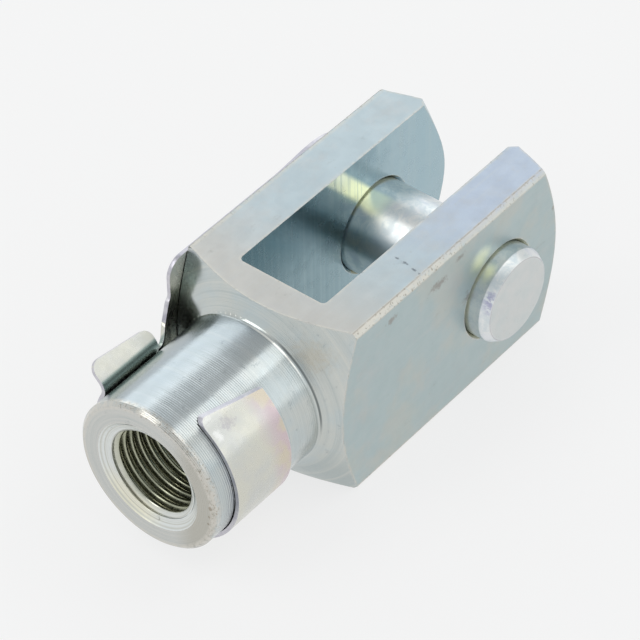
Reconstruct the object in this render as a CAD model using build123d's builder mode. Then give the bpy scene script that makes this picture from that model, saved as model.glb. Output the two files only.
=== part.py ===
from build123d import *
import os
from math import asin, cos, degrees, radians, sin, tan

# Clevis rod end, size 16 by 32: a fork head, and a pin riveted to a spring clip.
# The origin is the middle of the pin. X runs along the rod, with the thread's
# mouth at -X and the fork's tips at +X. Y runs along the pin, with the clip's
# leaf on the +Y side. Z is up.

# Fork head, machined from square bar
side = 32.0
bar_edge = 0.7
mouth_to_pin = 64.0
pin_to_tip = 19.5
pin_to_root = 32.6
slot_width = 16.2
root_fillet = 0.8
slot_mouth_chamfer = 1.25
neck_diameter = 26.0
neck_length = 24.0
neck_chamfer = 0.55
shoulder_fillet = 0.8
shoulder_angle = 29.0
tip_angle = 29.0
thread_diameter = 16.0
countersink_diameter = 19.0

# Clevis pin, with a spigot that is riveted over the clip's leaf
pin_diameter = 15.95
pin_clearance = 0.06
pin_hole_chamfer = 0.45
pin_projection = 3.75
pin_end_chamfer = 0.85
pin_end_chamfer_length = 1.45
spigot_diameter = 11.0
spigot_clearance = 0.02
rivet_head_diameter = 15.0
rivet_head_height = 1.4
rivet_head_round = 0.9

# Spring clip, bent from one strip of sheet
sheet = 0.65
leaf_gap = 0.1
leaf_width = 30.0
leaf_overhang = 0.96
leaf_front_radius = 3.0
leaf_flare_start = 13.0
leaf_flare_end = 6.5
leaf_tail = 5.5
leaf_tail_width = 31.2
leaf_tail_radius = 10.0
nose_radius = 12.0
waist_width = 16.4
waist_mid_width = 13.8
waist_mid_run = 3.9
waist_end_width = 9.0
waist_flat = 0.6
waist_radius = 1.0
step_overlap = 1.0
step_lead = 0.5
step_run = 4.8
step_tail = 1.1
bend_radius = 1.5
curl_run = 1.9
claw_gap = 0.15
claw_width = 12.1
arm_end_angle = 121.9
arm_end_slant = 12.5
arm_end_lean = 45.0
arm_spare_angle = 10.0
arm_corner_radius = 1.3
lip_root_angle = 27.25
lip_bend_radius = 2.0
lip_angle = 47.0
lip_length = 2.68
lip_slant = 6.2
lip_corner_radius = 1.8

# Places and radii that follow from them
mouth_x = -mouth_to_pin
tip_x = pin_to_tip
root_x = -pin_to_root
neck_r = neck_diameter / 2
neck_x = mouth_x + neck_length
turned_r = side * 0.75
shoulder_x = neck_x + (turned_r - neck_r) * tan(radians(shoulder_angle))
shoulder_flat_x = neck_x + (side / 2 - neck_r) * tan(radians(shoulder_angle))
tip_point_x = tip_x + slot_width / 2 * tan(radians(tip_angle))
tip_cone_x = tip_point_x - turned_r * tan(radians(tip_angle))
bar_length = tip_point_x - mouth_x
pin_r = pin_diameter / 2
pin_hole_r = pin_r + pin_clearance
pin_free_y = -side / 2 - pin_projection
spigot_r = spigot_diameter / 2
head_r = rivet_head_diameter / 2
leaf_inside = side / 2 + leaf_gap
leaf_outside = leaf_inside + sheet
leaf_mid = leaf_inside + sheet / 2
leaf_front_x = shoulder_flat_x - leaf_overhang
step_x = leaf_front_x - step_lead
step_end_x = step_x - step_run
curl_x = step_end_x - step_tail
waist_mid_x = leaf_front_x - waist_mid_run
waist_end_x = curl_x + waist_flat
claw_back_x = curl_x - curl_run
claw_mid_x = claw_back_x - claw_width / 2
claw_front_x = claw_back_x - claw_width
claw_r = neck_r + claw_gap + sheet / 2

with BuildPart() as fork_head:
    with BuildSketch(Plane.YZ.offset(mouth_x)) as bar_section:
        Rectangle(side, side)
        chamfer(bar_section.vertices(), bar_edge)
    extrude(amount=bar_length)

    # The neck, the shoulder and the cone over the tips are turned from the bar
    with BuildSketch(Plane.XY) as turned:
        with BuildLine():
            Polyline(
                (mouth_x, 0),
                (mouth_x, neck_r - neck_chamfer),
                (mouth_x + neck_chamfer, neck_r),
                (neck_x, neck_r),
                (shoulder_x, turned_r),
                (tip_cone_x, turned_r),
                (tip_point_x, 0),
                close=True,
            )
        make_face()
        fillet(turned.vertices().sort_by_distance((neck_x, neck_r, 0))[0], shoulder_fillet)
    revolve(axis=Axis.X, mode=Mode.INTERSECT)

    # The rod's thread runs from the countersunk mouth into the slot
    with Locations(Plane((mouth_x, 0, 0), x_dir=(0, 1, 0), z_dir=(-1, 0, 0))):
        CounterSinkHole(
            thread_diameter / 2,
            countersink_diameter / 2,
            mouth_to_pin - pin_to_root + root_fillet,
            90,
        )

    # The slot between the ears, open at the tips
    with BuildSketch(Plane.XY) as slot_section:
        with Locations((root_x, 0)):
            Rectangle(bar_length, slot_width, align=(Align.MIN, Align.CENTER))
        fillet(slot_section.vertices().group_by(Axis.X)[0], root_fillet)
    extrude(amount=side, both=True, mode=Mode.SUBTRACT)
    ear_insides = fork_head.faces().filter_by(Axis.Y).filter_by(
        lambda face: abs(abs(face.center().Y) - slot_width / 2) < 0.01
    )
    mouth_edges = ear_insides.edges().filter_by(
        lambda edge: edge.center().X > pin_r and abs(edge.center().Z) < side / 2 - 0.01
    )
    chamfer(mouth_edges, slot_mouth_chamfer)

    # The pin's holes through both ears, with broken edges
    with BuildSketch(Plane.XZ.offset(-side)):
        Circle(pin_hole_r)
    extrude(amount=2 * side, mode=Mode.SUBTRACT)
    hole_rims = fork_head.edges().filter_by(GeomType.CIRCLE).filter_by(
        lambda edge: abs(edge.radius - pin_hole_r) < 0.001
    )
    chamfer(hole_rims, pin_hole_chamfer)

with BuildPart() as clevis_pin:
    with BuildSketch(Plane.XY):
        with BuildLine():
            Polyline(
                (0, pin_free_y),
                (pin_r - pin_end_chamfer, pin_free_y),
                (pin_r, pin_free_y + pin_end_chamfer_length),
                (pin_r, leaf_inside),
                (spigot_r, leaf_inside),
                (spigot_r, leaf_outside),
                (head_r, leaf_outside),
                (head_r, leaf_outside + rivet_head_height),
                (0, leaf_outside + rivet_head_height),
                close=True,
            )
        make_face()
    revolve(axis=Axis.Y)
    fillet(clevis_pin.edges().group_by(Axis.Y)[-1], rivet_head_round)

# The clip's strip steps down from the leaf to the claw, and narrows to a waist
with BuildPart() as clip_step:
    with BuildSketch(Plane.XY):
        with BuildLine():
            FilletPolyline(
                (leaf_front_x + step_overlap, leaf_mid),
                (step_x, leaf_mid),
                (step_end_x, claw_r),
                (curl_x, claw_r),
                radius=bend_radius,
            )
        trace(line_width=sheet)
    extrude(amount=waist_width, both=True)
    with BuildSketch(Plane.XZ) as waist:
        with BuildLine():
            Polyline(
                (leaf_front_x + step_overlap, 0),
                (leaf_front_x + step_overlap, waist_width / 2 + 2 * waist_radius),
                (leaf_front_x, waist_width / 2 + 2 * waist_radius),
                (leaf_front_x, waist_width / 2),
                (waist_mid_x, waist_mid_width / 2),
                (waist_end_x, waist_end_width / 2),
                (curl_x, waist_end_width / 2),
                (curl_x, 0),
            )
            mirror(about=Plane.XZ)
        make_face()
        for corner in (
            (leaf_front_x, waist_width / 2),
            (waist_mid_x, waist_mid_width / 2),
            (waist_end_x, waist_end_width / 2),
            (leaf_front_x, -waist_width / 2),
            (waist_mid_x, -waist_mid_width / 2),
            (waist_end_x, -waist_end_width / 2),
        ):
            fillet(waist.vertices().sort_by_distance((*corner, 0))[0], waist_radius)
    extrude(amount=-side, mode=Mode.INTERSECT)

with BuildPart() as spring_clip:
    # The leaf lies flat against the far ear
    with BuildSketch(Plane.XZ.offset(-leaf_inside)) as leaf:
        with BuildLine():
            Polyline(
                (leaf_front_x, 0),
                (leaf_front_x, leaf_width / 2),
                (-leaf_flare_start, leaf_width / 2),
                (-leaf_flare_end, leaf_tail_width / 2),
                (leaf_tail, leaf_tail_width / 2),
                (leaf_tail, 0),
            )
            mirror(about=Plane.XZ)
        make_face()
        for end_x, end_width, end_radius in (
            (leaf_front_x, leaf_width, leaf_front_radius),
            (leaf_tail, leaf_tail_width, leaf_tail_radius),
        ):
            for corner_z in (end_width / 2, -end_width / 2):
                fillet(leaf.vertices().sort_by_distance((end_x, corner_z, 0))[0], end_radius)
        Circle(nose_radius)
        Circle(spigot_r + spigot_clearance, mode=Mode.SUBTRACT)
    extrude(amount=-sheet)
    add(clip_step.part)

    # The claw wraps round the neck from the near side, under it and up the far side
    with BuildSketch(Plane.YZ.offset(claw_front_x)):
        with BuildLine():
            wrap_start = arm_end_angle - arm_spare_angle
            wrap = CenterArc((0, 0), claw_r, wrap_start, 360 + lip_root_angle - wrap_start)
            lip_bend = JernArc(wrap @ 1, wrap % 1, lip_bend_radius, lip_angle - 90 - lip_root_angle)
            Line(lip_bend @ 1, lip_bend @ 1 + (lip_bend % 1) * 2 * lip_length)
        trace(line_width=sheet)
    extrude(amount=claw_width)

    # Between the flat strip and the claw the sheet takes up the claw's curve
    with BuildSketch(Plane.YZ.offset(claw_back_x)):
        with BuildLine():
            half_angle = degrees(asin(waist_end_width / 2 / claw_r))
            CenterArc((0, 0), claw_r, -half_angle, 2 * half_angle)
        trace(line_width=sheet)
    with BuildSketch(Plane.YZ.offset(curl_x)):
        with Locations((claw_r, 0)):
            Rectangle(sheet, waist_end_width)
    loft()

    # The arm's end is cut slantwise, with a round front corner, and its cut face leans back
    arm_normal = Vector(0, cos(radians(arm_end_angle)), sin(radians(arm_end_angle)))
    arm_along = Vector(0, arm_normal.Z, -arm_normal.Y)
    arm_lean = arm_normal * cos(radians(arm_end_lean)) - arm_along * sin(radians(arm_end_lean))
    arm_end = Vector(claw_mid_x, 0, 0) + arm_normal * claw_r
    arm_rise = claw_width / 2 * tan(radians(arm_end_slant)) * cos(radians(arm_end_lean))
    arm_corner = (-claw_width / 2, arm_rise)
    with BuildSketch(Plane(arm_end, x_dir=(1, 0, 0), z_dir=arm_lean)) as arm_cut:
        with BuildLine():
            Polyline(
                (-claw_width, -2 * arm_corner_radius),
                (arm_corner[0], -2 * arm_corner_radius),
                arm_corner,
                (-2 * arm_corner[0], -2 * arm_corner[1]),
                (claw_width, claw_width),
                (-claw_width, claw_width),
                close=True,
            )
        make_face()
        fillet(arm_cut.vertices().sort_by_distance((*arm_corner, 0))[0], arm_corner_radius)
    extrude(amount=claw_width / 2, both=True, mode=Mode.SUBTRACT)

    # The thumb lip ends slantwise too, with both corners round
    lip_run = Vector(0, cos(radians(lip_angle)), sin(radians(lip_angle)))
    lip_end = Vector(claw_mid_x, (lip_bend @ 1).X, (lip_bend @ 1).Y) + lip_run * lip_length
    lip_plane = Plane(lip_end, x_dir=(1, 0, 0), z_dir=(0, -lip_run.Z, lip_run.Y))
    with BuildSketch(lip_plane):
        Rectangle(
            2 * claw_width,
            2 * lip_length,
            rotation=-lip_slant,
            align=(Align.CENTER, Align.MIN),
        )
    extrude(amount=2 * sheet, both=True, mode=Mode.SUBTRACT)
    lip_corners = spring_clip.edges().filter_by(Axis((0, 0, 0), lip_plane.z_dir))
    fillet(lip_corners, lip_corner_radius)

fork_head.part.label = "fork_head"
clevis_pin.part.label = "clevis_pin"
spring_clip.part.label = "spring_clip"
os.makedirs("parts", exist_ok=True)
export_step(fork_head.part, "parts/fork_head.step")
export_step(clevis_pin.part, "parts/clevis_pin.step")
export_step(spring_clip.part, "parts/spring_clip.step")
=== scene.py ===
"""Looks of the clevis rod end: finished surfaces, thread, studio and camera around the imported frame."""

import math

import bmesh
import bpy
from mathutils import Matrix, Vector


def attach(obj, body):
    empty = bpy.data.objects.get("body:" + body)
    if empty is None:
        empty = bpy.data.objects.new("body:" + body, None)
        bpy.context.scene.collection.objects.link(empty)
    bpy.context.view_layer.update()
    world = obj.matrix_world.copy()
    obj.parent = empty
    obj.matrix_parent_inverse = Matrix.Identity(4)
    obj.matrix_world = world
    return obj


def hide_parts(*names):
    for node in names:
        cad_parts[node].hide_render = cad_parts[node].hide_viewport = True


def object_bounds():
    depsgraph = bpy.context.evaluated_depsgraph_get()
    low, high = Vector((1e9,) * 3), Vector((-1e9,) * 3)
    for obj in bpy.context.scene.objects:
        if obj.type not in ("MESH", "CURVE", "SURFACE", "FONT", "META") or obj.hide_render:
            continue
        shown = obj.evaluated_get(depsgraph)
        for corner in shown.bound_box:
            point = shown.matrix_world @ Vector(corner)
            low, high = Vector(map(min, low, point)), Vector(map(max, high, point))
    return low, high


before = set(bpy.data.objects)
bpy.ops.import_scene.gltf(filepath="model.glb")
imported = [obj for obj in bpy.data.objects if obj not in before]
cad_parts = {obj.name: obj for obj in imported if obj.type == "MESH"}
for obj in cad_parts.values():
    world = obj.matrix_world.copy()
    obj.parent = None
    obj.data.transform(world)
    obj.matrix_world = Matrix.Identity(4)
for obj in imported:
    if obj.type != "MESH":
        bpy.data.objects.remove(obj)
bpy.context.view_layer.update()
cad_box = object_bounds()

MM = 0.001

# The fork head, in millimetres in the row frame
MOUTH_X = -64.0
NECK_ROOT_X = -40.0
SLOT_ROOT_X = -32.6
SLOT_HALF = 8.1
BAR_HALF = 16.0
PIN_HOLE_REACH = 8.6
BORE_RADIUS = 8.0
COUNTERSINK_RADIUS = 9.5
COUNTERSINK_SLOPE = math.tan(math.radians(60))
BORE_X = MOUTH_X + (COUNTERSINK_RADIUS - BORE_RADIUS) / COUNTERSINK_SLOPE

# The bar's upper far edge lies behind the clip's leaf. The solid's break ends within BREAK_REACH
# of the corner, and here it is only as wide as LEAF_BREAK, in millimetres.
BREAK_REACH = 0.75
LEAF_BREAK = 0.25

# The pin's near end, in millimetres
PIN_END_RADIUS = 7.0
PIN_END_Y = -19.75

# The clip, in millimetres: the claw lies beyond CLAW_REAR_X and the leaf behind LEAF_FRONT_X, and the
# thumb lip's cut end lies outside LIP_RADIUS and faces LIP_SIDE in y and z
CLAW_REAR_X = -47.0
LEAF_FRONT_X = -41.0
LIP_RADIUS = 15.5
LIP_ROOT_RADIUS = 14.3
LIP_SIDE = (0.68, 0.73)

# Rounding of each piece's edges, and the head's shares of it, in millimetres and shares
HEAD_ROUNDING = 0.45
PIN_ROUNDING = 0.12
CLIP_ROUNDING = 0.07
MOUTH_RIM_SHARE = 0.6
PLAIN_EDGE_SHARE = 0.35
ROUNDING_SEGMENTS = 3

# Clean-up of the solids' meshes: welding distance in metres, angles in degrees
WELD = 2e-6
FLAT_ANGLE = 0.05
SHARP_ANGLE = 24.0

# The thread's ridge, in millimetres and degrees
THREAD_PITCH = 1.5
THREAD_CREST_RADIUS = 7.19
THREAD_BASE_RADIUS = 8.04
THREAD_BASE_WIDTH = 1.36
THREAD_CREST_WIDTH = 0.36
THREAD_START_X = -63.75
THREAD_START_ANGLE = 262.0
THREAD_END_X = -32.9
THREAD_STEPS = 96
THREAD_FLANK_POINTS = 5
THREAD_RUN_OUT_TURNS = 0.5

# How deep the ridge's hidden parts lie in the metal, and how far in front of the bore they reach
THREAD_SUNK = 0.05
THREAD_HIDDEN = 0.3

# Travel of the turning tool in one turn, in millimetres
FEED = 0.37

# Marks: the middle of each and its half-widths, in millimetres
NEAR_FILM = [((-4.6, -16.0, 9.6), (3.4, 1.0, 2.6))]
NEAR_SMUDGES = [((-7.9, -16.0, 4.0), (1.5, 1.0, 1.3)), ((-15.4, -16.0, 11.8), (2.6, 1.0, 1.0)),
                ((-26.5, -16.0, 13.0), (1.6, 1.0, 0.8)), ((-9.8, -16.0, 13.6), (1.5, 1.0, 0.6)),
                ((14.1, -16.0, 6.8), (0.5, 1.0, 0.6))]
TOP_NICKS = [((-18.0, -10.3, 16.0), (0.22, 0.5, 1.0)), ((-18.1, -11.9, 16.0), (0.3, 0.8, 1.0)),
             ((-18.5, -13.9, 16.0), (0.25, 0.6, 1.0)), ((-18.7, -15.0, 16.0), (0.2, 0.3, 1.0))]
MOUTH_PITS = [((-64.0, -12.0, 1.1), (1.0, 0.42, 0.5)), ((-64.0, -11.7, -0.8), (1.0, 0.25, 0.3)),
              ((-64.0, -11.5, -2.4), (1.0, 0.25, 0.25))]
SHOULDER_TAN = [((-38.6, -11.0, 11.5), (3.0, 4.5, 4.0))]
PIN_FILM = [((-4.2, -17.0, 6.8), (2.6, 1.5, 2.6))]
PIN_VIOLET = [((-6.2, -19.0, 3.0), (1.6, 1.5, 3.6))]
ARM_SMUDGE = [((-56.0, -9.0, 10.4), (1.8, 1.6, 1.3))]
ARM_GLINT = [((-58.6, -9.5, 10.1), (1.0, 1.3, 1.2))]

# The painted reflection on the far slot wall lies along a line: x + SLANT z = OFFSET
PAINTED_WALL_REFLECTION_SLANT = 0.885
PAINTED_WALL_REFLECTION_OFFSET = 4.5

# The surround's brightness at the horizon and overhead, and the height where it is darkest
SKY_LOW = 0.93
SKY_HIGH = 0.60
SKY_TURN = 0.85

# The floor: half its side in metres, its grey and its own glow
FLOOR_HALF = 3.0
FLOOR_GREY = 0.18
FLOOR_GLOW = 0.74

# The photograph's viewpoint, from outlines fitted in the photo: metres and unit vectors
CAMERA_PLACE = (-0.3309559, -0.2513795, 0.3735004)
CAMERA_RIGHT = (0.624976, -0.780563, -0.011256)
CAMERA_UP = (0.538796, 0.420876, 0.729769)
CAMERA_BACK = (-0.564893, -0.462153, 0.683601)
CAMERA_LENS = 201.6855
CAMERA_SENSOR = 36.0


class Graph:
    """A metal material's node tree, with short calls for the nodes that are used often."""

    def __init__(self, name):
        self.material = bpy.data.materials.new(name)
        self.material.use_nodes = True
        self.tree = self.material.node_tree
        self.tree.nodes.clear()
        self.output = self.tree.nodes.new("ShaderNodeOutputMaterial")
        self.shader = self.tree.nodes.new("ShaderNodeBsdfPrincipled")
        self.tree.links.new(self.shader.outputs[0], self.output.inputs[0])
        place = self.tree.nodes.new("ShaderNodeTexCoord").outputs["Object"]
        self.place = self.vector("SCALE", place, scale=1.0 / MM)
        split = self.tree.nodes.new("ShaderNodeSeparateXYZ")
        self.join(self.place, split.inputs[0])
        self.x, self.y, self.z = split.outputs

    def join(self, value, socket):
        """Link a socket, or set a plain value."""
        if isinstance(value, bpy.types.NodeSocket):
            self.tree.links.new(value, socket)
        else:
            socket.default_value = value

    def math(self, operation, a, b=0.0):
        """One Math node."""
        node = self.tree.nodes.new("ShaderNodeMath")
        node.operation = operation
        self.join(a, node.inputs[0])
        self.join(b, node.inputs[1])
        return node.outputs[0]

    def times(self, *values):
        """The product of several values."""
        product = values[0]
        for value in values[1:]:
            product = self.math("MULTIPLY", product, value)
        return product

    def vector(self, operation, a, b=None, scale=None):
        """One Vector Math node."""
        node = self.tree.nodes.new("ShaderNodeVectorMath")
        node.operation = operation
        self.join(a, node.inputs[0])
        if b is not None:
            self.join(b, node.inputs[1])
        if scale is not None:
            self.join(scale, node.inputs["Scale"])
        return node.outputs["Value" if operation in ("DOT_PRODUCT", "LENGTH") else "Vector"]

    def pack(self, x, y, z):
        """A vector from three values."""
        node = self.tree.nodes.new("ShaderNodeCombineXYZ")
        for value, socket in zip((x, y, z), node.inputs):
            self.join(value, socket)
        return node.outputs[0]

    def noise(self, where, scale, detail, roughness, distortion=0.0):
        """A noise texture, mostly between 0.3 and 0.7."""
        node = self.tree.nodes.new("ShaderNodeTexNoise")
        self.join(where, node.inputs["Vector"])
        self.join(scale, node.inputs["Scale"])
        self.join(detail, node.inputs["Detail"])
        self.join(roughness, node.inputs["Roughness"])
        self.join(distortion, node.inputs["Distortion"])
        return node.outputs[0]

    def spread(self, value, low, high, out_low=0.0, out_high=1.0):
        """value taken from low..high to out_low..out_high, smoothly and no further."""
        node = self.tree.nodes.new("ShaderNodeMapRange")
        node.interpolation_type = "SMOOTHSTEP"
        for item, socket in zip((value, low, high, out_low, out_high), node.inputs):
            self.join(item, socket)
        return node.outputs[0]

    def fade(self, value, low, high):
        """1 up to low, 0 from high on."""
        return self.spread(value, low, high, 1.0, 0.0)

    def band(self, value, centre, half, soft):
        """1 where value is within half of centre, 0 from half + soft on."""
        away = self.math("ABSOLUTE", self.math("SUBTRACT", value, centre))
        return self.fade(away, half, half + soft)

    def blend(self, amount, a, b):
        """Colour a where amount is 0, colour b where it is 1."""
        node = self.tree.nodes.new("ShaderNodeMix")
        node.data_type = "RGBA"
        self.join(amount, node.inputs["Factor"])
        self.join(a if isinstance(a, bpy.types.NodeSocket) else (*a, 1.0), node.inputs["A"])
        self.join(b if isinstance(b, bpy.types.NodeSocket) else (*b, 1.0), node.inputs["B"])
        return node.outputs["Result"]

    def tint(self, under, tone, mask, share=1.0):
        """Colour under with tone laid over it where mask is 1, as strongly as share."""
        amount = mask if share == 1.0 else self.times(mask, share)
        return self.blend(amount, under, tone)

    def distance(self, a, b):
        """Distance from an axis, with a and b measured across it, in millimetres."""
        return self.math("SQRT", self.math("ADD", self.times(a, a), self.times(b, b)))

    def edges(self, radius, low, high):
        """1 along edges that stick out, from how far the rounded normal leaves the plain one."""
        bevel = self.tree.nodes.new("ShaderNodeBevel")
        bevel.samples = 4
        bevel.inputs["Radius"].default_value = radius * MM
        geometry = self.tree.nodes.new("ShaderNodeNewGeometry")
        alike = self.vector("DOT_PRODUCT", bevel.outputs[0], geometry.outputs["Normal"])
        return self.spread(self.math("SUBTRACT", 1.0, alike), low, high)

    def worn_edges(self, radius, low, high, scale):
        """Edges that stick out, worn in patches."""
        patchy = self.spread(self.noise(self.place, scale, 4.0, 0.7), 0.36, 0.58)
        return self.times(self.edges(radius, low, high), patchy)

    def spot(self, centre, size, soft, rough, grain):
        """1 in a patch round centre with half-widths size, in millimetres, with an uneven outline."""
        away = self.vector("SUBTRACT", self.place, centre)
        away = self.vector("LENGTH", self.vector("DIVIDE", away, size))
        uneven = self.math("SUBTRACT", self.noise(self.place, grain, 4.0, 0.7), 0.5)
        away = self.math("ADD", away, self.times(uneven, 4 * rough))
        return self.fade(away, 1.0 - soft, 1.0)

    def spots(self, places, soft, rough, grain=1.1):
        """The largest of several spots."""
        value = 0.0
        for centre, size in places:
            value = self.math("MAXIMUM", value, self.spot(centre, size, soft, rough, grain))
        return value

    def bump(self, height, depth, before=None):
        """Relief of height, with 1 standing depth millimetres high."""
        node = self.tree.nodes.new("ShaderNodeBump")
        node.inputs["Strength"].default_value = 1.0
        node.inputs["Distance"].default_value = depth * MM
        self.join(height, node.inputs["Height"])
        if before is not None:
            self.join(before, node.inputs["Normal"])
        return node.outputs[0]

    def brush(self, axis, strength):
        """Stretch the highlights across fine rings round an axis."""
        node = self.tree.nodes.new("ShaderNodeTangent")
        node.direction_type = "RADIAL"
        node.axis = axis
        self.shader.inputs["Anisotropic"].default_value = strength
        self.shader.inputs["Anisotropic Rotation"].default_value = 0.25
        self.join(node.outputs[0], self.shader.inputs["Tangent"])

    def finish(self, colour, roughness, normal):
        """The finished metal."""
        self.shader.inputs["Metallic"].default_value = 1.0
        self.join(colour, self.shader.inputs["Base Color"])
        self.join(roughness, self.shader.inputs["Roughness"])
        self.join(normal, self.shader.inputs["Normal"])
        return self.material


def bar_tones(g, flats):
    """The bar's broad tones: blue-grey, beige over the shoulder and violet near the near tip."""
    cloud = g.noise(g.place, 0.07, 4.0, 0.6)
    along = g.math("ADD", g.x, g.times(g.math("SUBTRACT", cloud, 0.5), 16.0))
    front = g.times(flats, g.fade(along, -36.0, -17.0))
    near_tip = g.times(g.spread(along, -24.0, -2.0), g.fade(g.y, -9.0, -7.0), flats)
    colour = g.blend(flats, (0.43, 0.515, 0.52), (0.45, 0.525, 0.555))
    colour = g.tint(colour, (0.45, 0.51, 0.60), near_tip)
    colour = g.tint(colour, (0.52, 0.51, 0.48), front)
    patch = g.noise(g.place, 0.22, 5.0, 0.65)
    colour = g.tint(colour, (0.50, 0.50, 0.49), g.spread(patch, 0.45, 0.7, 0.0, 0.35))
    streak = g.noise(g.vector("MULTIPLY", g.place, (0.08, 2.4, 2.4)), 1.0, 3.0, 0.6)
    colour = g.tint(colour, (0.53, 0.56, 0.56), g.spread(streak, 0.45, 0.75, 0.0, 0.22))
    return colour


def bar_marks(g, colour):
    """The bar's smudges, warm clouds, films, nicks and specks."""
    smudge = g.noise(g.vector("MULTIPLY", g.place, (0.6, 1.0, 1.3)), 0.33, 5.0, 0.72)
    colour = g.tint(colour, (0.27, 0.29, 0.27), g.spread(smudge, 0.60, 0.76, 0.0, 0.4))
    warm = g.spread(g.noise(g.place, 0.11, 3.0, 0.55), 0.46, 0.66)
    near_face = g.fade(g.y, 0.1 - BAR_HALF, 0.5 - BAR_HALF)
    colour = g.tint(colour, (0.53, 0.535, 0.475), g.times(warm, near_face), 0.4)
    colour = g.tint(colour, (0.84, 0.88, 0.68), g.spots(NEAR_FILM, 0.9, 0.1), 0.9)
    colour = g.tint(colour, (0.30, 0.28, 0.255), g.spots(NEAR_SMUDGES, 0.9, 0.7, 1.6), 0.75)
    colour = g.tint(colour, (0.14, 0.16, 0.18), g.spots(TOP_NICKS, 0.6, 0.8, 3.5), 0.75)
    speck = g.noise(g.place, 2.2, 2.0, 0.6)
    return g.tint(colour, (0.33, 0.31, 0.26), g.spread(speck, 0.70, 0.78, 0.0, 0.3))


def bar_corners(g, colour, flats):
    """The bar's pale worn corners, most worn along the near top one, with a seam and pits."""
    patchy = g.noise(g.place, 0.8, 4.0, 0.7)
    corner = g.math("ADD", g.math("ABSOLUTE", g.y), g.math("ABSOLUTE", g.z))
    corner = g.times(g.spread(corner, 2 * BAR_HALF - 1.05, 2 * BAR_HALF - 0.75),
                     g.spread(patchy, 0.32, 0.5, 0.35, 1.0),
                     g.spread(g.x, -16.0, -10.0, 1.0, 0.6),
                     g.spread(g.y, -1.0, 1.0, 1.0, 0.45))
    worn = g.times(g.edges(0.8, 0.004, 0.05), g.spread(patchy, 0.34, 0.56))
    colour = g.tint(colour, (0.62, 0.595, 0.53), g.math("MAXIMUM", worn, corner), 0.85)
    seam = g.times(g.band(g.y, 0.72 - BAR_HALF, 0.04, 0.12), flats, g.spread(patchy, 0.35, 0.5))
    colour = g.tint(colour, (0.30, 0.27, 0.23), seam, 0.5)
    pits = g.math("MAXIMUM", g.edges(0.6, 0.01, 0.06), corner)
    pits = g.times(pits, g.spread(g.noise(g.place, 1.8, 4.0, 0.75), 0.57, 0.64))
    return g.tint(colour, (0.22, 0.20, 0.16), pits, 0.7)


def bar_material():
    """Drawn square bar: plating with smudges, nicks and worn corners."""
    g = Graph("plated_bar")
    flats = g.spread(g.math("ABSOLUTE", g.z), BAR_HALF - 0.8, BAR_HALF - 0.1)
    colour = bar_tones(g, flats)
    colour = bar_marks(g, colour)
    colour = bar_corners(g, colour, flats)
    roughness = g.spread(g.noise(g.place, 0.35, 4.0, 0.65), 0.3, 0.7, 0.31, 0.41)
    grain = g.noise(g.vector("MULTIPLY", g.place, (0.5, 2.6, 2.6)), 2.2, 4.0, 0.65)
    normal = g.bump(grain, 0.008)
    normal = g.bump(g.noise(g.place, 0.35, 2.0, 0.5), 0.03, normal)
    return g.finish(colour, roughness, normal)


def turned_tones(g, face, neck):
    """The turned surfaces' broad tones, with painted light on the neck and shoulder: painted shade that is
    bluer above and dark behind, a pale painted highlight on top, and painted shade on the shoulder's lower
    side.
    """
    cloud = g.noise(g.place, 0.12, 4.0, 0.6)
    colour = g.blend(g.spread(cloud, 0.38, 0.62), (0.53, 0.585, 0.59), (0.575, 0.60, 0.575))
    colour = g.tint(colour, (0.585, 0.59, 0.565), face)
    # Painted shade: the neck's upper far side made darker and bluer.
    upper = g.times(g.spread(g.math("ADD", g.z, g.y), 4.0, 14.0), neck)
    colour = g.tint(colour, (0.40, 0.455, 0.49), upper, 0.8)
    # Painted shade: the neck's far side made dark.
    behind = g.times(g.spread(g.y, 6.0, 9.0), neck)
    colour = g.tint(colour, (0.29, 0.35, 0.34), behind, 0.8)
    # Painted highlight: a pale band along the neck's top, towards the mouth.
    pale = g.times(g.band(g.y, -2.0, 1.5, 3.5), neck, g.spread(g.z, 2.0, 8.0),
                   g.spread(g.x, -50.0, -44.0, 0.6, 0.0))
    colour = g.tint(colour, (0.68, 0.73, 0.74), pale)
    # Painted shade: the shoulder made darker towards its lower side.
    painted_shoulder_shade = g.times(g.fade(g.z, -13.0, -3.0), g.spread(g.x, NECK_ROOT_X, NECK_ROOT_X + 1.5))
    return g.tint(colour, (0.40, 0.45, 0.445), painted_shoulder_shade, 0.8)


def tool_marks(g, colour, neck, feed, rings, wide):
    """Rings from the turning tool, and its feed grooves darkened with painted shade, strongest on the
    neck's near front part.
    """
    colour = g.tint(colour, (0.42, 0.47, 0.47), g.spread(rings, 0.42, 0.7, 0.0, 0.5))
    lines = g.times(g.spread(wide, 0.5, 0.7),
                    g.spread(g.x, NECK_ROOT_X - 1.0, NECK_ROOT_X + 0.5, 0.08, 0.4))
    colour = g.tint(colour, (0.70, 0.685, 0.62), lines)
    # Feed grooves with painted shade, darkened where the highlight falls on the neck's near front part.
    painted_feed_groove_shade = g.times(g.spread(feed, -0.2, 0.8), g.spread(g.x, -49.0, -46.0, 0.4, 0.1),
                     g.spread(g.y, -4.5, 0.5, 1.0, 0.08), neck)
    return g.tint(colour, (0.38, 0.42, 0.44), painted_feed_groove_shade)


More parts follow.
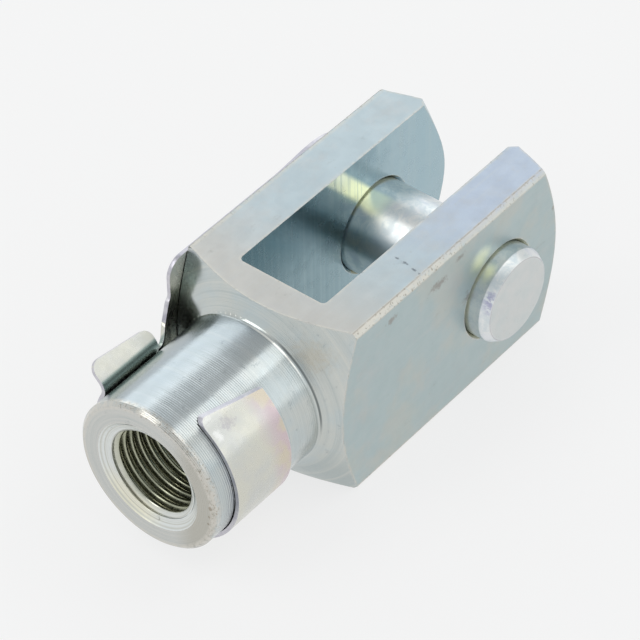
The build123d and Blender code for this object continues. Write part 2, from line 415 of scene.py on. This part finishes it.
def neck_root_marks(g, colour):
    """A painted highlight and a line of painted shade where the neck meets the shoulder, a tan patch and
    smudges.
    """
    # Painted highlight and painted shade along the fillet where the neck meets the shoulder.
    glint = g.times(g.band(g.x, NECK_ROOT_X - 0.4, 0.06, 0.16), g.band(g.y, -5.0, 2.5, 4.0),
                    g.spread(g.z, 0.0, 3.0))
    colour = g.tint(colour, (0.95, 0.95, 0.90), glint)
    shade = g.times(g.band(g.x, NECK_ROOT_X + 0.05, 0.06, 0.12), g.band(g.y, -10.0, 3.0, 3.0),
                    g.spread(g.z, -3.0, 2.0))
    colour = g.tint(colour, (0.12, 0.14, 0.14), shade, 0.85)
    tan = g.times(g.spread(g.x, NECK_ROOT_X, NECK_ROOT_X + 0.4), g.spots(SHOULDER_TAN, 0.9, 0.3))
    colour = g.tint(colour, (0.52, 0.49, 0.41), tan, 0.7)
    smudge = g.noise(g.place, 0.5, 5.0, 0.75)
    return g.tint(colour, (0.26, 0.30, 0.32), g.spread(smudge, 0.60, 0.72, 0.0, 0.4))


def mouth_marks(g, colour, face, radius):
    """The mouth face's near side, darker and browner with painted shade, and its worn and pitted rim."""
    # Painted shade with a brown tint on the mouth face's near side.
    near = g.times(face, g.fade(g.y, -9.0, -4.0))
    colour = g.tint(colour, (0.45, 0.435, 0.38), near, 0.8)
    rim = g.times(g.fade(g.x, MOUTH_X + 0.7, MOUTH_X + 1.6), g.spread(radius, 11.6, 12.3))
    patchy = g.noise(g.place, 1.0, 5.0, 0.75)
    worn = g.math("MAXIMUM", g.edges(0.5, 0.008, 0.09), rim)
    worn = g.times(worn, g.spread(patchy, 0.36, 0.56))
    colour = g.tint(colour, (0.66, 0.635, 0.58), worn, 0.75)
    pits = g.times(rim, g.spread(g.noise(g.place, 2.6, 4.0, 0.75), 0.55, 0.66),
                   g.spread(g.math("SUBTRACT", g.z, g.y), 0.0, 12.0, 0.1, 0.8))
    pits = g.math("MAXIMUM", pits, g.times(g.spots(MOUTH_PITS, 0.4, 0.2), 0.7))
    return g.tint(colour, (0.27, 0.23, 0.17), pits)


def turned_material():
    """Turned neck, shoulder, mouth face and tips, with fine rings from the tool."""
    g = Graph("plated_turned")
    radius = g.distance(g.y, g.z)
    travel = g.math("ADD", g.x, radius)
    drift = g.noise(g.place, 0.25, 2.0, 0.5)
    feed = g.math("SINE", g.math("ADD", g.times(travel, 2 * math.pi / FEED), g.times(drift, 5.0)))
    rings = g.noise(g.pack(travel, g.times(g.y, 0.015), g.times(g.z, 0.015)), 1.7, 4.0, 0.75)
    wide = g.noise(g.pack(travel, 0.0, 0.0), 0.55, 2.0, 0.6)
    face = g.fade(g.x, MOUTH_X + 0.1, MOUTH_X + 0.6)
    neck = g.times(g.fade(g.x, NECK_ROOT_X - 0.8, NECK_ROOT_X),
                   g.spread(g.x, MOUTH_X + 0.6, MOUTH_X + 1.0))
    colour = turned_tones(g, face, neck)
    colour = tool_marks(g, colour, neck, feed, rings, wide)
    colour = neck_root_marks(g, colour)
    colour = mouth_marks(g, colour, face, radius)
    roughness = g.spread(g.noise(g.place, 0.4, 3.0, 0.6), 0.3, 0.7, 0.17, 0.26)
    deep = g.times(g.spread(g.x, -49.5, -45.0, 1.0, 0.2), g.spread(wide, 0.35, 0.6, 0.7, 1.0),
                   g.spread(g.y, -4.5, 0.5, 1.0, 0.1))
    normal = g.bump(g.times(feed, deep), 0.014)
    normal = g.bump(rings, 0.016, normal)
    g.brush("X", 0.45)
    return g.finish(colour, roughness, normal)


def milled_material():
    """Milled slot: teal plating with fine upright marks on the walls, painted shade towards the slot's root
    and a painted reflection on the far wall.
    """
    g = Graph("plated_milled")
    marks = g.noise(g.pack(g.x, 0.0, g.times(g.z, 0.01)), 1.3, 2.0, 0.7)
    cloud = g.noise(g.place, 0.12, 4.0, 0.6)
    colour = g.blend(g.spread(cloud, 0.35, 0.65), (0.36, 0.495, 0.55), (0.385, 0.51, 0.56))
    # Painted shade: the slot made darker towards its root.
    colour = g.tint(colour, (0.27, 0.39, 0.43), g.fade(g.x, -13.0, 2.0))
    colour = g.tint(colour, (0.42, 0.53, 0.55), g.spread(marks, 0.42, 0.66, 0.0, 0.3))
    # Painted reflection: a pale yellow-green patch on the far slot wall, where it mirrors the pin's lit
    # top.
    slant = g.math("ADD", g.x, g.times(g.z, PAINTED_WALL_REFLECTION_SLANT))
    film_and_painted_reflection = g.times(g.band(slant, PAINTED_WALL_REFLECTION_OFFSET, 1.2, 1.4), g.spread(g.z, 6.0, 8.0),
                   g.spread(g.y, SLOT_HALF - 0.6, SLOT_HALF - 0.1), g.spread(marks, 0.36, 0.5, 0.65, 1.0))
    colour = g.tint(colour, (0.93, 0.97, 0.76), film_and_painted_reflection)
    colour = g.tint(colour, (0.62, 0.60, 0.55), g.worn_edges(0.4, 0.01, 0.1, 1.2))
    roughness = g.spread(g.noise(g.place, 0.4, 3.0, 0.6), 0.3, 0.7, 0.20, 0.29)
    return g.finish(colour, roughness, g.bump(marks, 0.003))


def bore_material():
    """Thread, countersink and pin holes: cut steel, olive, with painted shade deeper in the bore and
    painted light on the countersink.
    """
    g = Graph("plated_bore")
    cloud = g.noise(g.place, 0.5, 4.0, 0.6)
    colour = g.blend(g.spread(cloud, 0.35, 0.65), (0.56, 0.57, 0.48), (0.64, 0.645, 0.58))
    radius = g.distance(g.y, g.z)
    rings = g.noise(g.pack(g.math("SUBTRACT", g.x, radius), 0.0, 0.0), 2.2, 3.0, 0.7)
    colour = g.tint(colour, (0.42, 0.43, 0.36), g.spread(rings, 0.4, 0.7, 0.0, 0.4))
    # Painted shade: the bore made darker and more olive deeper in from the mouth.
    painted_bore_shade = g.spread(g.x, MOUTH_X + 1.4, MOUTH_X + 2.4)
    colour = g.tint(colour, (0.40, 0.41, 0.31), painted_bore_shade)
    colour = g.tint(colour, (0.76, 0.75, 0.62), g.edges(0.25, 0.02, 0.2))
    # Painted light: the countersink made bright, with a golden painted reflection on its lower side.
    dish = g.times(g.fade(g.x, MOUTH_X + 1.3, MOUTH_X + 1.6), g.spread(radius, 7.15, 7.3))
    painted_lower_reflection = g.times(g.fade(g.z, -7.0, -2.0), g.spread(g.y, -3.0, 2.0))
    bright = g.blend(painted_lower_reflection, (0.76, 0.79, 0.78), (0.85, 0.83, 0.69))
    ringed = g.tint(bright, (0.58, 0.58, 0.53), g.spread(rings, 0.4, 0.7))
    colour = g.tint(colour, ringed, dish)
    roughness = g.spread(g.noise(g.place, 1.2, 3.0, 0.6), 0.3, 0.7, 0.20, 0.30)
    roughness = g.math("ADD", roughness, g.times(dish, 0.2))
    return g.finish(colour, roughness, g.bump(rings, 0.004))


def pin_side_tones(g, mottle):
    """The pin's mottled side: violet clouds, a yellow painted reflection by the far wall, a yellow tint
    spot near its end and a pale painted highlight on the lower side in the slot.
    """
    colour = g.blend(g.spread(mottle, 0.38, 0.62), (0.55, 0.62, 0.64), (0.74, 0.76, 0.74))
    cloud = g.spread(g.noise(g.place, 0.3, 2.0, 0.5), 0.52, 0.68, 0.0, 0.4)
    colour = g.tint(colour, (0.60, 0.62, 0.70), cloud)
    # Painted reflection: a yellow patch on the pin's top beside the far wall.
    film_and_painted_reflection = g.times(g.spread(g.y, 2.5, 5.5), g.fade(g.y, 8.5, 9.5),
                   g.band(g.x, -2.4, 1.2, 1.2), g.spread(g.z, 4.0, 6.0))
    colour = g.tint(colour, (0.92, 0.95, 0.76), film_and_painted_reflection, 0.9)
    colour = g.tint(colour, (0.95, 0.97, 0.74), g.spots(PIN_FILM, 0.9, 0.1), 0.9)
    # Painted highlight: the pin's lower side in the slot made nearly white towards the near ear.
    low = g.times(g.spread(g.y, -9.0, -7.0, 0.35, 1.0), g.fade(g.y, 0.0, 6.0),
                  g.spread(g.z, 3.0, 8.0, 1.0, 0.2))
    return g.tint(colour, (0.96, 0.97, 1.0), low, 0.85)


def pin_end_marks(g, colour, radius, end):
    """The pin's plain sawn end with brown specks, violet streaks on its chamfer and a dark ring."""
    soft = g.noise(g.place, 0.25, 3.0, 0.6)
    plain = g.blend(g.spread(soft, 0.35, 0.65), (0.61, 0.645, 0.64), (0.64, 0.655, 0.645))
    speck = g.spread(g.noise(g.place, 2.4, 2.0, 0.6), 0.66, 0.76, 0.0, 0.4)
    plain = g.tint(plain, (0.42, 0.38, 0.32), speck)
    colour = g.tint(colour, plain, end)
    streaks = g.noise(g.pack(g.x, g.times(g.y, 0.3), g.z), 1.4, 3.0, 0.7)
    violet = g.times(g.spots(PIN_VIOLET, 0.7, 0.2), g.spread(streaks, 0.4, 0.55),
                     g.spread(radius, PIN_END_RADIUS + 0.1, PIN_END_RADIUS + 0.25))
    colour = g.tint(colour, (0.36, 0.36, 0.52), violet, 0.8)
    ring = g.times(g.band(radius, PIN_END_RADIUS + 0.02, 0.03, 0.10),
                   g.fade(g.y, PIN_END_Y + 1.15, PIN_END_Y + 1.55))
    return g.tint(colour, (0.33, 0.30, 0.31), ring, 0.5)


def pin_material():
    """Ground pin: bright mottled plating, with a duller sawn end."""
    g = Graph("plated_pin_finish")
    radius = g.distance(g.x, g.z)
    mottle = g.noise(g.place, 0.5, 5.0, 0.7, 0.4)
    end = g.times(g.fade(radius, PIN_END_RADIUS - 0.25, PIN_END_RADIUS + 0.05),
                  g.fade(g.y, PIN_END_Y + 0.25, PIN_END_Y + 0.55))
    colour = pin_side_tones(g, mottle)
    colour = pin_end_marks(g, colour, radius, end)
    colour = g.tint(colour, (0.76, 0.74, 0.70), g.worn_edges(0.3, 0.01, 0.1, 1.4))
    roughness = g.math("ADD", g.spread(mottle, 0.3, 0.7, 0.40, 0.29), g.times(end, 0.02))
    along = g.math("ADD", g.y, radius)
    rings = g.noise(g.pack(g.times(g.x, 0.05), along, g.times(g.z, 0.05)), 2.4, 3.0, 0.7)
    return g.finish(colour, roughness, g.bump(rings, 0.006))


def clip_material():
    """Sheet spring: pale cream plating that turns orange and pink at the claw's rear."""
    g = Graph("plated_clip_finish")
    cloud = g.noise(g.place, 0.16, 4.0, 0.6)
    colour = g.blend(g.spread(cloud, 0.35, 0.65), (0.61, 0.62, 0.59), (0.66, 0.655, 0.58))
    rear = g.spread(g.math("ADD", g.x, g.times(cloud, 4.0)), -50.5, -46.5)
    rear = g.times(rear, g.fade(g.y, 2.0, 8.0))
    hue = g.spread(g.noise(g.place, 0.3, 2.0, 0.5), 0.4, 0.6)
    film_and_painted_reflection = g.blend(hue, (0.64, 0.565, 0.45), (0.62, 0.50, 0.53))
    colour = g.tint(colour, film_and_painted_reflection, rear, 0.85)
    # Painted shade: a dark band where the thumb lip leaves the neck.
    painted_lip_root_shade = g.times(g.band(g.distance(g.y, g.z), LIP_ROOT_RADIUS, 0.35, 0.5),
                       g.spread(g.z, 3.0, 5.0), g.spread(g.y, 8.0, 9.0))
    colour = g.tint(colour, (0.22, 0.30, 0.28), painted_lip_root_shade, 0.75)
    smudge = g.noise(g.place, 0.9, 5.0, 0.75)
    colour = g.tint(colour, (0.34, 0.35, 0.34), g.spread(smudge, 0.64, 0.74, 0.0, 0.4))
    colour = g.tint(colour, (0.40, 0.38, 0.42), g.spots(ARM_SMUDGE, 0.8, 0.6), 0.5)
    colour = g.tint(colour, (0.92, 0.92, 0.90), g.spots(ARM_GLINT, 0.7, 0.4), 0.5)
    colour = g.tint(colour, (0.66, 0.64, 0.68), g.worn_edges(0.25, 0.01, 0.12, 1.4))
    roughness = g.spread(g.noise(g.place, 0.6, 3.0, 0.6), 0.3, 0.7, 0.22, 0.32)
    return g.finish(colour, roughness, g.bump(g.noise(g.place, 0.9, 2.0, 0.5), 0.006))


def clip_edge_material():
    """Cut edges of the spring's sheet: matt lilac-grey."""
    g = Graph("plated_clip_edge")
    cloud = g.noise(g.place, 0.7, 4.0, 0.65)
    colour = g.blend(g.spread(cloud, 0.35, 0.65), (0.50, 0.49, 0.55), (0.64, 0.63, 0.66))
    normal = g.bump(g.noise(g.place, 3.0, 3.0, 0.6), 0.01)
    return g.finish(colour, g.spread(cloud, 0.3, 0.7, 0.30, 0.42), normal)


def clip_surface(centre, normal):
    """Which finish a face of the clip has: 0 sheet, 1 cut edge."""
    x, y, z = (value / MM for value in centre)
    radius = math.hypot(y, z)
    outward = (normal.y * y + normal.z * z) / radius
    if x < CLAW_REAR_X:
        arm_end = z > 10.0 and y < 0.0 and abs(outward) < 0.85
        lip_end = radius > LIP_RADIUS and normal.y * LIP_SIDE[0] + normal.z * LIP_SIDE[1] > 0.7
        return 1 if abs(normal.x) > 0.8 or arm_end or lip_end else 0
    return 1 if x > LEAF_FRONT_X and abs(normal.y) < 0.3 else 0


def head_surface(centre, normal):
    """Which finish a face of the fork head has: 0 bar, 1 turned, 2 milled, 3 bore."""
    x, y, z = (value / MM for value in centre)
    radius = math.hypot(y, z)
    if x < SLOT_ROOT_X + 0.02 and radius < COUNTERSINK_RADIUS + 0.05 and abs(normal.x) < 0.95:
        outward = (normal.y * y + normal.z * z) / max(radius, 0.01)
        if outward < 0.2:
            return 3
    if abs(y) < SLOT_HALF + 1.3 and x > SLOT_ROOT_X - 1.0 and abs(normal.z) < 0.5:
        return 2
    if math.hypot(x, z) < PIN_HOLE_REACH and abs(normal.y) < 0.9:
        return 3
    if abs(normal.x) > 0.2 or radius < BAR_HALF - 0.5 and x < NECK_ROOT_X + 2.0:
        return 1
    return 0


def head_rounding(edge):
    """How far a fork head's edge is rounded, as a share of HEAD_ROUNDING."""
    x, y, z = (value / MM for value in (edge.verts[0].co + edge.verts[1].co) / 2)
    radius = math.hypot(y, z)
    if x < MOUTH_X + 0.1 and radius < COUNTERSINK_RADIUS + 0.1:
        return 1.0
    if x < MOUTH_X + 1.0 and radius > COUNTERSINK_RADIUS + 1.0:
        return MOUTH_RIM_SHARE
    return PLAIN_EDGE_SHARE


def cone_radius(x):
    """The countersink's radius at x."""
    return COUNTERSINK_RADIUS - (x - MOUTH_X) * COUNTERSINK_SLOPE


def refine_head(mesh):
    """A flatter countersink, and a nearly sharp upper far edge behind the clip's leaf."""
    for vertex in mesh.verts:
        x, y, z = (value / MM for value in vertex.co)
        if x < MOUTH_X + 1.6 and abs(math.hypot(y, z) - BORE_RADIUS) < 0.05:
            vertex.co.x = BORE_X * MM
        if y > BAR_HALF - BREAK_REACH and abs(z - BAR_HALF) < 0.01:
            vertex.co.y = (BAR_HALF - LEAF_BREAK) * MM
        elif z > BAR_HALF - BREAK_REACH and abs(y - BAR_HALF) < 0.01:
            vertex.co.z = (BAR_HALF - LEAF_BREAK) * MM


def thread_section():
    """The ridge's section: how far each point lies along the bore from its middle, and its radius."""
    flank = []
    for step in range(THREAD_FLANK_POINTS):
        share = step / (THREAD_FLANK_POINTS - 1)
        width = THREAD_CREST_WIDTH + share * (THREAD_BASE_WIDTH - THREAD_CREST_WIDTH)
        flank.append((width / 2, THREAD_CREST_RADIUS + share * (THREAD_BASE_RADIUS - THREAD_CREST_RADIUS)))
    return [(-along, radius) for along, radius in flank[::-1]] + flank


def add_thread(mesh):
    """The internal thread's ridge, one closed helical strip along the bore."""
    section = thread_section()
    sides = len(section)
    count = int((THREAD_END_X - THREAD_START_X) / THREAD_PITCH * THREAD_STEPS)
    rows = []
    for step in range(count + 1):
        angle = 2 * math.pi * step / THREAD_STEPS + math.radians(THREAD_START_ANGLE)
        middle = THREAD_START_X + THREAD_PITCH * step / THREAD_STEPS
        height = min(1.0, max(0.02, (count - step) / (THREAD_RUN_OUT_TURNS * THREAD_STEPS)))
        row = []
        for along, radius in section:
            depth = THREAD_SUNK + max(0.0, BORE_X - middle - along) / 2
            place = max(middle + along, BORE_X - THREAD_HIDDEN)
            radius = THREAD_BASE_RADIUS - (THREAD_BASE_RADIUS - radius) * height
            radius = max(radius, cone_radius(place) + depth)
            row.append(mesh.verts.new((
                place * MM, radius * math.cos(angle) * MM, radius * math.sin(angle) * MM)))
        rows.append(row)
    faces = []
    for first, second in zip(rows, rows[1:]):
        for i in range(sides):
            j = (i + 1) % sides
            faces.append(mesh.faces.new((first[i], first[j], second[j], second[i])))
    faces.append(mesh.faces.new(rows[0][::-1]))
    faces.append(mesh.faces.new(rows[-1]))
    bmesh.ops.recalc_face_normals(mesh, faces=faces)
    for face in faces:
        face.material_index = 3
        face.smooth = True


def clean_mesh(node):
    """A CAD node's mesh in the row frame, welded, with its flat faces whole."""
    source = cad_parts[node]
    mesh = bmesh.new()
    mesh.from_mesh(source.data)
    mesh.transform(source.matrix_world)
    bmesh.ops.remove_doubles(mesh, verts=mesh.verts, dist=WELD)
    bmesh.ops.dissolve_limit(mesh, angle_limit=math.radians(FLAT_ANGLE), verts=mesh.verts, edges=mesh.edges)
    bmesh.ops.recalc_face_normals(mesh, faces=mesh.faces)
    return mesh


def finished(name, node, body, materials, width, surface=None, extra=None, rounding=None, shape=None):
    """A piece from a CAD node's solid, with its edges rounded by width millimetres."""
    mesh = clean_mesh(node)
    if shape:
        shape(mesh)
    for face in mesh.faces:
        face.smooth = True
        face.material_index = surface(face.calc_center_median(), face.normal) if surface else 0
    weights = mesh.edges.layers.float.new("bevel_weight_edge")
    for edge in mesh.edges:
        if edge.is_manifold and edge.calc_face_angle() > math.radians(SHARP_ANGLE):
            edge[weights] = rounding(edge) if rounding else 1.0
    if extra:
        extra(mesh)
    data = bpy.data.meshes.new(name)
    mesh.to_mesh(data)
    mesh.free()
    for material in materials:
        data.materials.append(material)
    piece = bpy.data.objects.new(name, data)
    bpy.context.scene.collection.objects.link(piece)
    bevel = piece.modifiers.new("rounded_edges", "BEVEL")
    bevel.width = width * MM
    bevel.segments = ROUNDING_SEGMENTS
    bevel.limit_method = "WEIGHT"
    piece.modifiers.new("even_normals", "WEIGHTED_NORMAL")
    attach(piece, body)
    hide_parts(node)
    return piece


finished("fork_head_finished", "fork_head", "head",
         [bar_material(), turned_material(), milled_material(), bore_material()], HEAD_ROUNDING,
         head_surface, add_thread, head_rounding, refine_head)
finished("clevis_pin_finished", "clevis_pin", "pin_and_clip", [pin_material()], PIN_ROUNDING)
finished("spring_clip_finished", "spring_clip", "pin_and_clip",
         [clip_material(), clip_edge_material()], CLIP_ROUNDING, clip_surface)


def surround():
    """An even pale surround, a little darker overhead."""
    world = bpy.data.worlds.new("studio")
    world.use_nodes = True
    tree = world.node_tree
    background = tree.nodes["Background"]
    background.inputs["Color"].default_value = (0.96, 0.985, 1.0, 1.0)
    split = tree.nodes.new("ShaderNodeSeparateXYZ")
    tree.links.new(tree.nodes.new("ShaderNodeTexCoord").outputs["Generated"], split.inputs[0])
    fall = tree.nodes.new("ShaderNodeMapRange")
    for value, socket in zip((0.0, SKY_TURN, SKY_LOW, SKY_HIGH), list(fall.inputs)[1:5]):
        socket.default_value = value
    tree.links.new(split.outputs["Z"], fall.inputs[0])
    tree.links.new(fall.outputs[0], background.inputs["Strength"])
    bpy.context.scene.world = world


def pale_floor():
    """A plain pale floor under the lowest point of the solids."""
    level = cad_box[0].z
    corners = [(-FLOOR_HALF, -FLOOR_HALF, level), (FLOOR_HALF, -FLOOR_HALF, level),
               (FLOOR_HALF, FLOOR_HALF, level), (-FLOOR_HALF, FLOOR_HALF, level)]
    data = bpy.data.meshes.new("floor")
    data.from_pydata(corners, [], [(0, 1, 2, 3)])
    floor = bpy.data.objects.new("floor", data)
    bpy.context.scene.collection.objects.link(floor)
    material = bpy.data.materials.new("pale_floor")
    material.use_nodes = True
    shader = material.node_tree.nodes["Principled BSDF"]
    shader.inputs["Base Color"].default_value = (FLOOR_GREY, FLOOR_GREY, FLOOR_GREY, 1.0)
    shader.inputs["Roughness"].default_value = 1.0
    shader.inputs["Specular IOR Level"].default_value = 0.0
    shader.inputs["Emission Color"].default_value = (1.0, 1.0, 1.0, 1.0)
    shader.inputs["Emission Strength"].default_value = FLOOR_GLOW
    data.materials.append(material)


def softbox(name, direction, distance, size, power, colour=(1.0, 1.0, 1.0), along_x=False):
    """A soft light that faces the origin. along_x lays its height along the X axis."""
    light = bpy.data.lights.new(name, "AREA")
    light.shape = "RECTANGLE"
    light.size, light.size_y = size
    light.energy = power
    light.color = colour
    lamp = bpy.data.objects.new(name, light)
    bpy.context.scene.collection.objects.link(lamp)
    lamp.location = Vector(direction).normalized() * distance
    lamp.rotation_euler = (-lamp.location).to_track_quat("-Z", "Y").to_euler()
    if along_x:
        along = Vector((1.0, 0.0, 0.0))
        out = lamp.location.normalized()
        along = (along - out * along.dot(out)).normalized()
        lamp.rotation_euler = Matrix((along.cross(out), along, out)).transposed().to_euler()


def camera():
    """The photograph's viewpoint."""
    data = bpy.data.cameras.new("camera")
    data.sensor_fit = "HORIZONTAL"
    data.sensor_width = CAMERA_SENSOR
    data.lens = CAMERA_LENS
    data.clip_start = 0.01
    data.clip_end = 20.0
    item = bpy.data.objects.new("camera", data)
    bpy.context.scene.collection.objects.link(item)
    turn = Matrix((CAMERA_RIGHT, CAMERA_UP, CAMERA_BACK)).transposed().to_4x4()
    item.matrix_world = Matrix.Translation(CAMERA_PLACE) @ turn
    bpy.context.scene.camera = item


surround()
pale_floor()
softbox("near_strip", (0.30, -0.32, 0.84), 1.1, (0.40, 1.25), 1.5, along_x=True)
softbox("far_strip", (-0.52, 0.40, 0.74), 1.1, (0.46, 0.8), 2.04, (1.0, 0.985, 0.95), along_x=True)
softbox("back_light", (0.60, 0.62, 0.48), 1.2, (1.1, 0.8), 2.2, (0.94, 0.975, 1.0))
softbox("side_light", (0.52, -0.70, 0.47), 1.2, (0.8, 0.8), 1.0)
camera()
bpy.context.scene.view_settings.view_transform = "Standard"
